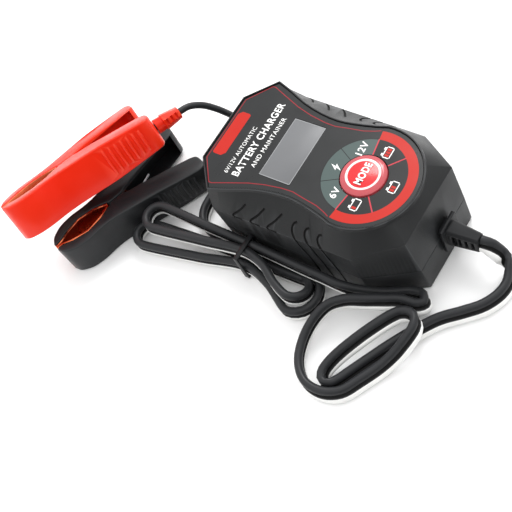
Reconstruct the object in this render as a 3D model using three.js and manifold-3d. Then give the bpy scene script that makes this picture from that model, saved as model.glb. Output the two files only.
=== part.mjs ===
// Car battery charger with two battery clamps, in millimetres, +Z up.
// The housing lies on z = 0 with the origin under its middle. +Y is the mains end, and the
// charging cord leaves the -Y end, lies beside the housing in a hank and runs to the clamps.

import * as THREE from 'three';
import { mergeVertices } from 'three/addons/utils/BufferGeometryUtils.js';
import Module from 'manifold-3d';

const wasm = await Module();
wasm.setup();

// ---------------------------------------------------------------- driving dimensions

const GAP = 0.3;                  // clearance between pieces that touch
const WALL = 2.2;                 // housing wall
const PARTING_Z = 18.7;           // where the two housing shells meet
const ROOF_Z = 49.9;              // inner face of the housing roof
const SEAT_Z = 52.1;              // seat of the label inside the raised lip
const RIM_Z = 51.4;               // foot of the raised lip
const LIP_Z = 53.6;               // top of the raised lip
const LIP_WIDTH = 1.3;
const LABEL_THICKNESS = 0.4;

const BUTTON_Y = -29;             // centre of the mode button and of the rim's round end
const RIM_RADIUS = 32.7;
const BUTTON_RADIUS = 12.8;
const LED_CIRCLE = 18;            // radius of the ring of indicator lamps round the button

const WINDOW = { x: 19.5, y0: 6.7, y1: 26.6 };         // display window
const SCREWS = [[33, 40], [-33, 40], [27, -42], [-27, -42]];
const BOARD = { x: 22.5, y0: -52, y1: 36, z0: 34, z1: 35.6 };
const BOARD_POSTS = [[20, -48], [-20, -48], [20, 32.5], [-20, 32.5]];

const VENT_WIDTH = 1.3;
const VENTS = [                   // y, half-length of each slot; all centred on VENT_Z
  [38, 3.5], [33, 9], [28.3, 11], [23.5, 13], [18.5, 12.5], [13.8, 9.5], [9, 5.5],
];
const VENT_Z = 15;

const RELIEF = { x: 2.5, z: 19, y0: -72.4, y1: -89.4 };   // cord strain relief
const MAINS_INLET = { x: 12, y0: 54, y1: 69.2, z0: 23, z1: 37 };
const PIN = { x: 4.6, z: 30, radius: 1.15 };
const SCREW = { head: 3, shank: 1.4, headZ: 5.3, ledgeZ: 8, tipZ: 31 };
const BOSS = { lower: 4, upper: 3.6, hole: 1.8, counterbore: 3.4 };
const TRANSFORMER = {
  x: 21, y0: 24, y1: 44, z0: 2.6, z1: 30.6, leg: 7, limb: 14, window0: 8.6, window1: 24.6,
};

const CORD = { height: 9.6, width: 4.8 };               // flat twin cord, lying on its edge
const LEAD_RADIUS = 2.1;
const HANK = { z0: 1.3, middle: 11, z1: 20.7 };         // the folded cord, two layers high
const TIE = { x0: -58.4, x1: -43.3, y0: 28.5, y1: 31.5, thickness: 0.8 };
const SPLITTER = { x0: 4, x1: 19, y0: 73, y1: 81.2, z0: 0.2, z1: 10.2 };

const CLAMP = { half: 12, cheek: 2.5, pivot: 49.4, pin: 2.3, hole: 2.8 };
const BOOT = { start: [100.9, -17.2], tip: [117.3, -17.5], rise: -1 };
const BLACK_CLAMP = { nose: [-98, 141, CLAMP.half + 0.1], yaw: -19.7, pitch: 0, roll: 0 };
const RED_CLAMP = { nose: [-100.6, 161.9, 43.3], yaw: -20.2, pitch: -3.5, roll: 27.7 };

// ---------------------------------------------------------------- mesh helpers

const V = (x, y, z) => new THREE.Vector3(x, y, z);

function toSolid(geometry) {
  const bare = geometry.clone();
  bare.deleteAttribute('normal');
  bare.deleteAttribute('uv');
  const merged = mergeVertices(bare, 1e-4);
  return new wasm.Manifold(new wasm.Mesh({
    numProp: 3,
    vertProperties: new Float32Array(merged.attributes.position.array),
    triVerts: new Uint32Array(merged.index.array),
  }));
}

function toGeometry(solid) {
  const mesh = solid.getMesh();
  const geometry = new THREE.BufferGeometry();
  geometry.setAttribute('position', new THREE.BufferAttribute(mesh.vertProperties, 3));
  geometry.setIndex(new THREE.BufferAttribute(mesh.triVerts, 1));
  geometry.computeVertexNormals();
  return geometry;
}

function box(x0, x1, y0, y1, z0, z1) {
  const geometry = new THREE.BoxGeometry(x1 - x0, y1 - y0, z1 - z0);
  geometry.translate((x0 + x1) / 2, (y0 + y1) / 2, (z0 + z1) / 2);
  return toSolid(geometry);
}

// A turned shape: profile points are [radius, height], starting and ending on the axis.
function turned(profile, x, y, sides = 16) {
  const points = profile.map(([radius, height]) => new THREE.Vector2(radius, height));
  const geometry = new THREE.LatheGeometry(points, sides);
  geometry.rotateX(Math.PI / 2);
  geometry.translate(x, y, 0);
  return toSolid(geometry);
}

function post(radius, x, y, z0, z1, sides = 12) {
  return turned([[0, z0], [radius, z0], [radius, z1], [0, z1]], x, y, sides);
}

// A flat outline in X and Y, extruded from z0 to z1.
function prism(outline, z0, z1) {
  const shape = new THREE.Shape(outline.map(([x, y]) => new THREE.Vector2(x, y)));
  const geometry = new THREE.ExtrudeGeometry(shape, { depth: z1 - z0, bevelEnabled: false });
  geometry.translate(0, 0, z0);
  return toSolid(geometry);
}

// A skin over rings with equal numbers of points, listed anticlockwise from the lowest ring up.
function loft(rings) {
  const count = rings[0].length;
  const positions = rings.flat().flatMap((point) => [point.x, point.y, point.z]);
  const index = [];
  for (let level = 0; level + 1 < rings.length; level += 1) {
    for (let i = 0; i < count; i += 1) {
      const low = level * count + i;
      const lowNext = level * count + ((i + 1) % count);
      index.push(low, lowNext, lowNext + count, low, lowNext + count, low + count);
    }
  }
  addCap(positions, index, rings[0], 0, true);
  addCap(positions, index, rings[rings.length - 1], (rings.length - 1) * count, false);
  const geometry = new THREE.BufferGeometry();
  geometry.setAttribute('position', new THREE.BufferAttribute(new Float32Array(positions), 3));
  geometry.setIndex(index);
  return toSolid(geometry);
}

function addCap(positions, index, ring, start, isFirst) {
  const centre = ring.reduce((sum, point) => sum.add(point), V(0, 0, 0)).divideScalar(ring.length);
  const hub = positions.length / 3;
  positions.push(centre.x, centre.y, centre.z);
  for (let i = 0; i < ring.length; i += 1) {
    const here = start + i;
    const next = start + ((i + 1) % ring.length);
    index.push(...(isFirst ? [hub, next, here] : [hub, here, next]));
  }
}

// ---------------------------------------------------------------- materials and scene

const group = new THREE.Group();

function finish(color, roughness, metalness = 0) {
  return { color, roughness, metalness };
}

const FINISHES = {
  housing: finish(0x3c3d3e, 0.55),
  label: finish(0x454748, 0.35),
  display: finish(0x9a9b9d, 0.2),
  clearRed: finish(0xf5402f, 0.2),
  redPlastic: finish(0xff3a1c, 0.3),
  blackPlastic: finish(0x323436, 0.45),
  cord: finish(0x2a2b2c, 0.5),
  copper: finish(0xc06a3c, 0.35, 1),
  steel: finish(0xa8aaac, 0.35, 1),
  board: finish(0x2d5a34, 0.5),
  iron: finish(0x55565a, 0.5, 1),
  winding: finish(0xb06a2e, 0.4, 1),
  aluminium: finish(0xb8babc, 0.4, 1),
  capacitor: finish(0x2b3350, 0.35),
  glass: finish(0xdfe6e6, 0.1),
  lampRed: finish(0xd8422c, 0.3),
  lampGreen: finish(0x4fae5a, 0.3),
};

function add(name, solid, finishName, parent = group) {
  const material = new THREE.MeshStandardMaterial(FINISHES[finishName]);
  const mesh = new THREE.Mesh(toGeometry(solid), material);
  mesh.name = name;
  parent.add(mesh);
}

// ---------------------------------------------------------------- housing outlines

// Half outlines for x >= 0, from the middle of the cord end round to the middle of the mains
// end. Each level has the same corners, so the levels can be joined point by point.
const SIDE_Y = [-26, -22, -17, -7, 2.5, 14, 27, 38.5];
const WAIST_X = [32.6, 31.3, 30, 28, 27, 28, 31, 35.3];
const SPLIT = { end: 3, shoulder: 5, mainsShoulder: 2 };

const BASE = {
  cordMid: V(0, -70.5, 0), cordCorner: V(23.3, -70.5, 0), cordShoulder: V(39.5, -42, 0),
  mainsShoulder: V(40.8, 48, 0), mainsCorner: V(22.5, 67, 0), mainsMid: V(0, 68, 0),
};
const PARTING = {
  cordMid: V(0, -68.9, PARTING_Z), cordCorner: V(24, -68.9, PARTING_Z),
  cordShoulder: V(40.2, -41.3, PARTING_Z), mainsShoulder: V(41.7, 48.8, PARTING_Z),
  mainsCorner: V(23.2, 69.3, PARTING_Z), mainsMid: V(0, 70.4, PARTING_Z),
};
const CREASE = {
  cordMid: V(0, -65.9, 45.7), cordCorner: V(24.7, -65.9, 45.7), cordShoulder: V(40.8, -40.3, 39),
  mainsShoulder: V(42.5, 49.5, 39), mainsCorner: V(23, 68, 43.5), mainsMid: V(0, 68, 44),
};
const RIM_MAINS = { shoulder: [39.1, 50], corner: [21.8, 65.2] };

function addSpan(points, from, to, steps) {
  for (let i = 0; i < steps; i += 1) {
    points.push(from.clone().lerp(to, i / steps));
  }
}

function levelOutline(level) {
  const points = [];
  addSpan(points, level.cordMid, level.cordCorner, SPLIT.end);
  addSpan(points, level.cordCorner, level.cordShoulder, SPLIT.shoulder);
  points.push(level.cordShoulder.clone());
  const length = level.mainsShoulder.y - level.cordShoulder.y;
  for (const y of SIDE_Y) {
    const along = (y - level.cordShoulder.y) / length;
    points.push(level.cordShoulder.clone().lerp(level.mainsShoulder, along));
  }
  addSpan(points, level.mainsShoulder, level.mainsCorner, SPLIT.mainsShoulder);
  addSpan(points, level.mainsCorner, level.mainsMid, SPLIT.end);
  points.push(level.mainsMid.clone());
  return mirrored(points);
}

// The raised lip follows an arc round the button, a waist beside the display, and the
// cut-off corners of the mains end.
function rimOutline(z) {
  const points = [];
  const arcPoint = (degrees) => {
    const angle = THREE.MathUtils.degToRad(degrees);
    return V(RIM_RADIUS * Math.sin(angle), BUTTON_Y - RIM_RADIUS * Math.cos(angle), z);
  };
  const cornerAngle = 33.8;
  const shoulderAngle = 74.5;
  for (let i = 0; i < SPLIT.end; i += 1) {
    points.push(arcPoint((cornerAngle * i) / SPLIT.end));
  }
  for (let i = 0; i <= SPLIT.shoulder; i += 1) {
    points.push(arcPoint(cornerAngle + ((shoulderAngle - cornerAngle) * i) / SPLIT.shoulder));
  }
  SIDE_Y.forEach((y, i) => points.push(V(WAIST_X[i], y, z)));
  const shoulder = V(...RIM_MAINS.shoulder, z);
  const corner = V(...RIM_MAINS.corner, z);
  addSpan(points, shoulder, corner, SPLIT.mainsShoulder);
  addSpan(points, corner, V(0, corner.y, z), SPLIT.end);
  points.push(V(0, corner.y, z));
  return mirrored(points);
}

function mirrored(half) {
  const other = half.slice(1, -1).reverse().map((point) => V(-point.x, point.y, point.z));
  return [...half, ...other];
}

// Moves each point of a ring inwards by a distance, and down by a drop.
function inset(ring, distance, drop = 0) {
  const inward = (from, to) => V(from.y - to.y, to.x - from.x, 0).normalize();
  return ring.map((point, i) => {
    const before = ring[(i + ring.length - 1) % ring.length];
    const after = ring[(i + 1) % ring.length];
    const both = inward(before, point).add(inward(point, after));
    const shifted = point.clone().addScaledVector(both, (2 * distance) / both.lengthSq());
    shifted.z -= drop;
    return shifted;
  });
}

// ---------------------------------------------------------------- housing shells

function housingOutside() {
  return loft([
    levelOutline(BASE), levelOutline(PARTING), levelOutline(CREASE),
    rimOutline(RIM_Z), inset(rimOutline(LIP_Z), 0.3),
  ]);
}

function housingInside() {
  return loft([
    inset(levelOutline(BASE), WALL, -WALL), inset(levelOutline(PARTING), WALL),
    inset(levelOutline(CREASE), WALL, 1), inset(rimOutline(ROOF_Z), WALL),
  ]);
}

function ventCutters() {
  const depth = 8;
  const outside = 44;
  return VENTS.flatMap(([y, half]) => [-1, 1].map((side) => {
    const x0 = Math.min(side * outside, side * (outside - depth));
    return box(x0, x0 + depth, y - VENT_WIDTH / 2, y + VENT_WIDTH / 2, VENT_Z - half, VENT_Z + half);
  }));
}

// The notch for the strain relief's neck and the opening for the mains inlet.
function endOpenings() {
  const neck = 4.5;
  const inlet = MAINS_INLET;
  return [
    box(RELIEF.x - neck, RELIEF.x + neck, -80, -60, RELIEF.z - 6, RELIEF.z + 6),
    box(-inlet.x - GAP, inlet.x + GAP, 60, 80, inlet.z0 - GAP, inlet.z1 + GAP),
  ];
}

function cutAll(solid, cutters) {
  return cutters.reduce((rest, cutter) => rest.subtract(cutter), solid);
}

function upperShell() {
  const outside = housingOutside();
  let shell = outside.subtract(housingInside());
  for (const [x, y] of SCREWS) {
    shell = shell.add(post(BOSS.upper, x, y, PARTING_Z + GAP, ROOF_Z + 1).intersect(outside));
  }
  for (const [x, y] of BOARD_POSTS) {
    shell = shell.add(post(2.4, x, y, BOARD.z1 + GAP, ROOF_Z + 1));
  }
  const recess = loft([inset(rimOutline(SEAT_Z), LIP_WIDTH), inset(rimOutline(LIP_Z + 1), LIP_WIDTH)]);
  shell = cutAll(shell, [
    box(-60, 60, -90, 90, -5, PARTING_Z + GAP / 2),
    recess,
    box(-WINDOW.x - GAP, WINDOW.x + GAP, WINDOW.y0 - GAP, WINDOW.y1 + GAP, ROOF_Z - 1, LIP_Z),
    post(BUTTON_RADIUS + 0.5, 0, BUTTON_Y, ROOF_Z - 1, LIP_Z, 32),
    ...ledPlaces().map(([x, y]) => post(1.8, x, y, ROOF_Z - 1, LIP_Z)),
    ...SCREWS.map(([x, y]) => post(BOSS.hole, x, y, PARTING_Z - 1, SCREW.tipZ + 2)),
    ...ventCutters(),
    ...endOpenings(),
  ]);
  return shell;
}

function lowerShell() {
  let shell = housingOutside().subtract(housingInside());
  for (const [x, y] of SCREWS) {
    shell = shell.add(post(BOSS.lower, x, y, 1, PARTING_Z));
  }
  return cutAll(shell, [
    box(-60, 60, -90, 90, PARTING_Z - GAP / 2, 60),
    ...SCREWS.map(([x, y]) => post(BOSS.hole, x, y, -1, PARTING_Z)),
    ...SCREWS.map(([x, y]) => post(BOSS.counterbore, x, y, -1, SCREW.ledgeZ)),
    ...ventCutters(),
    ...endOpenings(),
  ]);
}

function housingScrew(x, y) {
  const { head, shank, headZ, ledgeZ, tipZ } = SCREW;
  const shoulder = ledgeZ - GAP;
  const outline = [
    [0, headZ], [head, headZ], [head, shoulder], [shank, shoulder], [shank, tipZ], [0, tipZ + 1],
  ];
  const slotDepth = 0.9;
  const slots = [[head, 0.4], [0.4, head]].map(([dx, dy]) => (
    box(x - dx * 0.7, x + dx * 0.7, y - dy * 0.7, y + dy * 0.7, headZ - 1, headZ + slotDepth)));
  return cutAll(turned(outline, x, y, 12), slots);
}

// ---------------------------------------------------------------- label, display and button

function ledPlaces() {
  return [30, 90, 150, 210, 270, 330].map((degrees) => {
    const angle = THREE.MathUtils.degToRad(degrees);
    return [LED_CIRCLE * Math.cos(angle), BUTTON_Y + LED_CIRCLE * Math.sin(angle)];
  });
}

function labelOverlay() {
  const bottom = SEAT_Z + GAP;
  const top = bottom + LABEL_THICKNESS;
  const plate = loft([
    inset(rimOutline(bottom), LIP_WIDTH + GAP), inset(rimOutline(top), LIP_WIDTH + GAP)]);
  return cutAll(plate, [
    box(-WINDOW.x - GAP, WINDOW.x + GAP, WINDOW.y0 - GAP, WINDOW.y1 + GAP, ROOF_Z, LIP_Z),
    post(BUTTON_RADIUS + 0.5, 0, BUTTON_Y, ROOF_Z, LIP_Z, 32),
  ]);
}

function lcdWindow() {
  return box(-WINDOW.x, WINDOW.x, WINDOW.y0, WINDOW.y1, SEAT_Z + GAP, SEAT_Z + GAP + LABEL_THICKNESS);
}

function lcdModule() {
  const { x, y0, y1 } = WINDOW;
  const holder = box(-x - 2.5, x + 2.5, y0 - 2.5, y1 + 2.5, 44, ROOF_Z - GAP);
  return holder.add(box(-x, x, y0, y1, 45, SEAT_Z - 0.1));
}

// A domed cap with a flange that stops under the roof and a stem that meets the switch.
function modeButton() {
  const flange = BUTTON_RADIUS + 1.4;
  const dome = [];
  for (let i = 0; i <= 4; i += 1) {
    const angle = (i / 4) * (Math.PI / 2);
    dome.push([11.8 * Math.cos(angle), 53.6 + 1.5 * Math.sin(angle)]);
  }
  dome[4][0] = 0;
  return turned([
    [0, 41.7], [2.2, 41.7], [2.2, 46.6], [flange, 47.6], [flange, 48.8], [BUTTON_RADIUS, 48.8],
    [BUTTON_RADIUS, 53.2], ...dome,
  ], 0, BUTTON_Y, 32);
}

function buttonSwitch() {
  const foot = box(-3, 3, BUTTON_Y - 3, BUTTON_Y + 3, BOARD.z1 + GAP, 39.4);
  return foot.add(post(1.7, 0, BUTTON_Y, 39, 40.6));
}

function lamp(x, y) {
  return turned([
    [0, BOARD.z1 + GAP], [0.6, BOARD.z1 + GAP], [0.6, 43], [1.9, 43], [1.9, 44], [1.5, 44],
    [1.5, 48], [1.1, 49], [0, 49.4],
  ], x, y, 8);
}

// ---------------------------------------------------------------- works inside the housing

function circuitBoard() {
  return box(-BOARD.x, BOARD.x, BOARD.y0, BOARD.y1, BOARD.z0, BOARD.z1);
}

function transformerCore() {
  const t = TRANSFORMER;
  return cutAll(box(-t.x, t.x, t.y0, t.y1, t.z0, t.z1), [
    box(t.leg, t.limb, t.y0 - 1, t.y1 + 1, t.window0, t.window1),
    box(-t.limb, -t.leg, t.y0 - 1, t.y1 + 1, t.window0, t.window1),
  ]);
}

function transformerWinding() {
  const t = TRANSFORMER;
  const bulge = t.limb - t.leg - 2 * GAP;
  const z0 = t.window0 + GAP;
  const z1 = t.window1 - GAP;
  const outer = box(-t.limb + GAP, t.limb - GAP, t.y0 - GAP - bulge, t.y1 + GAP + bulge, z0, z1);
  return outer.subtract(box(-t.leg - GAP, t.leg + GAP, t.y0 - GAP, t.y1 + GAP, z0 - 1, z1 + 1));
}

function capacitor(x, y, radius, height) {
  const top = BOARD.z0 - GAP;
  return post(radius, x, y, top - height, top, 20);
}

function heatSink() {
  const base = box(17, 20, -18, 10, 8, BOARD.z0 - GAP);
  let sink = base;
  for (let y = -18; y <= 8; y += 5.2) {
    sink = sink.add(box(19, 30, y, y + 2, 8, BOARD.z0 - GAP));
  }
  return sink;
}

function powerTransistor() {
  const tab = box(15.2, 16.7, -9, 1, 10, 30);
  return tab.add(box(12.2, 16, -9, 1, 14, 24));
}

function fuse() {
  const tube = turned([
    [0, -10], [2.6, -10], [2.6, -5], [2.2, -5], [2.2, 5], [2.6, 5], [2.6, 10], [0, 10],
  ], 0, 0, 12);
  return tube.rotate([90, 0, 0]).translate([-17, -4, BOARD.z0 - GAP - 2.8]);
}

function mainsInlet() {
  const { x, y0, y1, z0, z1 } = MAINS_INLET;
  const pins = [-PIN.x, PIN.x].map((px) => (
    box(px - 1.5, px + 1.5, y0 - 1, y0 + 5, PIN.z - 1.5, PIN.z + 1.5)));
  return cutAll(box(-x, x, y0, y1, z0, z1), [
    box(-x + 2.6, x - 2.6, y0 + 4, y1 + 1, z0 + 2.2, z1 - 2.2), ...pins]);
}

function inletPin(x) {
  const r = PIN.radius;
  const rod = turned([[0, 0], [r, 0], [r, 13.4], [r / 2, 14], [0, 14]], 0, 0, 10);
  return rod.rotate([-90, 0, 0]).translate([x, MAINS_INLET.y0 - 1.5, PIN.z]);
}

// ---------------------------------------------------------------- charging cord

// A tapered moulded sleeve: a flange inside the wall, a neck, a flange outside and a
// slotted tail.
function strainRelief() {
  const { x, z, y0, y1 } = RELIEF;
  const slab = (half, high, from, to) => box(x - half, x + half, from, to, z - high, z + high);
  const ring = (half, high, y) => {
    const cut = 1.4;
    return [
      V(x - half + cut, y, z - high), V(x - half, y, z - high + cut), V(x - half, y, z + high - cut),
      V(x - half + cut, y, z + high), V(x + half - cut, y, z + high), V(x + half, y, z + high - cut),
      V(x + half, y, z - high + cut), V(x + half - cut, y, z - high),
    ];
  };
  const tail = loft([ring(3.4, 5.6, y1), ring(4.9, 7, y0 + 1)]);
  const flangeBack = y0 + 2;
  let relief = slab(7.2, 9.6, y0, flangeBack).add(slab(4.2, 5.7, y0 + 1, -64));
  relief = relief.add(slab(6.2, 7.6, -65.6, -63.6)).add(tail);
  const windows = [];
  for (let i = 0; i < 4; i += 1) {
    const y = y0 - 3.4 - 3.6 * i;
    const reach = 4 - 0.3 * i;
    windows.push(box(x + 1.9, x + 9, y - 0.9, y + 0.9, z - reach, z + reach));
    windows.push(box(x - 9, x - 1.9, y - 0.9, y + 0.9, z - reach, z + reach));
  }
  return cutAll(relief, windows);
}

// A curve whose section keeps its first axis upright, so that a flat cord doesn't twist.
class UprightCurve extends THREE.CatmullRomCurve3 {
  computeFrenetFrames(steps) {
    const up = V(0, 0, 1);
    const tangents = [];
    const normals = [];
    const binormals = [];
    for (let i = 0; i <= steps; i += 1) {
      const tangent = this.getTangentAt(i / steps);
      const normal = up.clone().addScaledVector(tangent, -up.dot(tangent)).normalize();
      tangents.push(tangent);
      normals.push(normal);
      binormals.push(V(0, 0, 0).crossVectors(tangent, normal));
    }
    return { tangents, normals, binormals };
  }
}

function sweep(curve, section, steps) {
  const shape = new THREE.Shape(section.map(([x, y]) => new THREE.Vector2(x, y)));
  return toSolid(new THREE.ExtrudeGeometry(shape, { steps, extrudePath: curve, bevelEnabled: false }));
}

function flatCord(route, steps) {
  const high = CORD.height / 2;
  const wide = CORD.width / 2;
  const section = [
    [high, wide * 0.45], [high * 0.75, wide], [-high * 0.75, wide], [-high, wide * 0.45],
    [-high, -wide * 0.45], [-high * 0.75, -wide], [high * 0.75, -wide], [high, -wide * 0.45],
  ];
  const curve = new UprightCurve(route.map((point) => V(...point)), false, 'centripetal');
  return sweep(curve, section, steps);
}

function roundLead(route, steps) {
  const section = [];
  for (let i = 0; i < 8; i += 1) {
    const angle = (i / 8) * 2 * Math.PI;
    section.push([LEAD_RADIUS * Math.cos(angle), LEAD_RADIUS * Math.sin(angle)]);
  }
  const curve = new THREE.CatmullRomCurve3(route.map((point) => V(...point)), false, 'centripetal');
  return sweep(curve, section, steps);
}

// From the strain relief to the hank.
const CORD_ROUTE = [
  [2.5, -89.8, 19], [2.5, -92.6, 19], [2.9, -96.5, 15.5], [2.8, -101, 9.6], [-0.5, -105.6, 5.9],
  [-7, -108.2, 4.9], [-15, -107.6, 4.9], [-24, -103, 4.9], [-32, -95, 4.9], [-40, -86, 4.9],
  [-50, -78.5, 4.9], [-62, -71, 4.9], [-74, -64.5, 4.9], [-85, -58.8, 4.9], [-92.3, -55, 4.9],
  [-96.2, -51.8, 5.1], [-96.4, -47.6, 5.7], [-92.6, -45.5, 6.5], [-86.8, -46.4, 7.6],
  [-80, -49.4, 9.4], [-72, -53.8, 11.3], [-62, -60, 13.7], [-53, -65.6, 14.5],
  [-48.6, -69.4, 14.6], [-46.9, -74, 14.6], [-48.9, -78.4, 14.8], [-53.4, -80.2, 14.8],
  [-59.5, -79.4, 13], [-67, -76.4, 8.9], [-76, -71.8, 5.7], [-88, -65.2, 4.9], [-97.6, -59.2, 4.9],
  [-102, -50.5, 4.9], [-101, -39, 4.9], [-93, -29.5, 4.9], [-81, -25, 5.7], [-68.5, -26, 9.4],
  [-59.5, -30.5, 12.8], [-53.8, -38.5, 14.5], [-49.6, -49, 14.6], [-45.6, -58.5, 14.4],
  [-42, -65.5, 12.8], [-40.6, -72, 10], [-36.6, -75.4, 7.8], [-32.2, -72.4, 6.4],
  [-32.6, -65.5, 5.6], [-36.8, -57.5, 5.6], [-41.2, -48.8, 7], [-45, -39.5, 10.6],
  [-47.2, -30.5, 14.3], [-47.4, -20, 15.8],
];

// From the hank to the splitter.
const TAIL_ROUTE = [
  [-45.6, 58, 6.1], [-45, 63, 5.7], [-43.4, 68.6, 5.1], [-40, 73.8, 4.9], [-34.2, 77.4, 4.9],
  [-27, 78.6, 4.9], [-16, 78.4, 4.9], [-4, 77.4, 4.9], [3.6, 77.2, 4.9],
];

const RED_LEAD_ROUTE = [
  [19.4, 74.8, 2.3], [27, 74.2, 2.2], [35, 74.6, 2.2], [43.5, 76.8, 2.2], [49, 82, 2.2],
  [50.3, 89, 2.2], [46.8, 94.6, 2.5], [41, 96.8, 4], [35.2, 95.8, 7], [30.4, 93.4, 11.5],
  [26.8, 91.6, 17], [24, 91.8, 23.4], [20.8, 95.4, 30.6], [16.4, 100, 37.4], [10.4, 103.9, 42],
  [4.75, 106.1, 43.35],
];

const BLACK_LEAD_ROUTE = [
  [19.4, 79.6, 2.3], [28, 79.4, 2.2], [35, 80, 2.2], [40, 83, 2.4], [40.8, 87.8, 3.2],
  [36.6, 90.6, 4.8], [30.6, 89, 7], [24.6, 85.8, 9.6], [18.5, 83.2, 11.2], [12.5, 83.2, 11.2],
  [7, 84.8, 11.1],
];

// The folded cord's outline: a bend at the clamps' end in each layer, a waist at the tie and
// one wide bend at the cord's end. The tail leaves the lower layer beside its bend.
function hank() {
  const bend = (x, y, radius, first, last) => {
    const steps = 6;
    return Array.from({ length: steps + 1 }, (_, i) => {
      const angle = THREE.MathUtils.degToRad(first + ((last - first) * i) / steps);
      return [x + radius * Math.cos(angle), y + radius * Math.sin(angle)];
    });
  };
  const cordEnd = [[TIE.x0, 26], [-65, 10], ...bend(-57.5, -7, 15.1, 180, 350), [TIE.x1, 12]];
  const lower = [
    ...cordEnd, [TIE.x1, 56], [-48.6, 56], ...bend(-62, 101, 10.1, 0, 180), [-64.8, 62],
    [TIE.x0, 34],
  ];
  const upper = [
    ...cordEnd, [TIE.x1, 60], ...bend(-52.8, 95, 10.1, 0, 180), [-58.6, 62], [TIE.x0, 34],
  ];
  return prism(lower, HANK.z0, HANK.middle).add(prism(upper, HANK.middle, HANK.z1));
}

// A wire tie bent round the hank.
function twistTie() {
  const rect = (grow, from, to) => box(
    TIE.x0 - grow, TIE.x1 + grow, from, to, HANK.z0 - grow, HANK.z1 + grow);
  return rect(GAP + TIE.thickness, TIE.y0, TIE.y1).subtract(rect(GAP, TIE.y0 - 1, TIE.y1 + 1));
}

function leadSplitter() {
  const { x0, x1, y0, y1, z0, z1 } = SPLITTER;
  const outline = [
    [x0, y0 + 1.6], [x0 + 3, y0], [x1 - 1, y0], [x1, y0 + 1], [x1, y1 - 1], [x1 - 1, y1],
    [x0 + 3, y1], [x0, y1 - 1.6],
  ];
  return prism(outline, z0, z1);
}

// ---------------------------------------------------------------- battery clamps

// One clamp lies along its own X: the nose at 0, the pivot at CLAMP.pivot, the grips at 100.
// Arms are mirror images in its XZ plane, and the pivot runs along its Z.
const COVER_OUTSIDE = [
  [0, 2.8], [2.1, 7.4], [9.5, 11.6], [19, 12.6], [28.4, 11.6], [37.8, 12.1], [63, 17.9],
  [94.5, 25.2], [98.7, 24.2], [100.3, 20],
];
const COVER_INSIDE = [
  [99.8, 13.7], [94.5, 11.6], [65, 4.7], [54.6, 2.1], [51, 0.3], [41.6, 0.3], [40.6, 1.6],
  [37.7, 2.7], [31.5, 5.2], [21, 6.8], [10.5, 4.7], [4.4, 1.8], [0, 1.6],
];
const COVER_HOLLOW = [
  [4, 8.2], [10.2, 9.3], [19, 10.4], [28.4, 9.4], [38.2, 9.9], [63.4, 15.7], [94, 22.8], [97, 21],
  [97, -1], [4, -1],
];
const JAW_LINING = [
  [0.2, 0.15], [4.2, 0.3], [10.5, 3.2], [21, 5.3], [31.5, 3.7], [37, 1.2], [40, 0.15],
  [40.2, 1.2], [37.5, 2.4], [31.5, 4.9], [21, 6.5], [10.5, 4.4], [4.4, 1.5], [0.2, 1.25],
];
const JAW_EAR = [
  [24, 5.6], [31.5, 4.2], [36.5, 2], [41, 0.7], [48, 0], [50, 4], [44, 7.6], [36, 9], [24, 8],
];
const EARS = { fixed: [7.5, 8.7], free: [5.8, 7] };

function flip(outline, side) {
  return outline.map(([x, y]) => [x, y * side]);
}

function armCover(side) {
  const { half, cheek } = CLAMP;
  const [taperStart, taperEnd, endHalf] = [66, 101, 9.6];
  const plan = [
    [-1, -half], [taperStart, -half], [taperEnd, -endHalf], [taperEnd, endHalf],
    [taperStart, half], [-1, half],
  ];
  const outside = prism(flip([...COVER_OUTSIDE, ...COVER_INSIDE], side), -half, half);
  const taper = prism(plan, -40, 40).rotate([90, 0, 0]);
  const hollow = prism(flip(COVER_HOLLOW, side), -half + cheek, half - cheek);
  return outside.intersect(taper).subtract(hollow);
}

function jaw(side, ears) {
  const lining = prism(flip(JAW_LINING, side), -CLAMP.half + 0.4, CLAMP.half - 0.4);
  let metal = lining;
  for (const [z0, z1] of [[ears[0], ears[1]], [-ears[1], -ears[0]]]) {
    const disc = post(5.4, CLAMP.pivot, 0, z0, z1, 20);
    metal = metal.add(prism(flip(JAW_EAR, side), z0, z1)).add(disc);
  }
  return metal.subtract(post(CLAMP.hole, CLAMP.pivot, 0, -20, 20, 16));
}

function pivotPin() {
  const end = CLAMP.half - CLAMP.cheek - GAP;
  return post(CLAMP.pin, CLAMP.pivot, 0, -end, end, 16);
}

// The coil round the pin, one leg in the fixed arm and one leg between the grips.
function clampSpring() {
  const [inner, outer, half] = [2.9, 4.7, 4.8];
  const coil = post(outer, CLAMP.pivot, 0, -half, half, 16).subtract(
    post(inner, CLAMP.pivot, 0, -half - 1, half + 1, 16));
  const leg = (z) => box(0, 24, -0.7, 0.7, z - 0.7, z + 0.7);
  const fixedLeg = leg(half - 0.7).rotate([0, 0, -24]).translate([CLAMP.pivot + 0.6, -3.8, 0]);
  const freeLeg = leg(0.7 - half).rotate([0, 0, -5]).translate([CLAMP.pivot, 3.8, 0]);
  return coil.add(fixedLeg).add(freeLeg);
}

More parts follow.
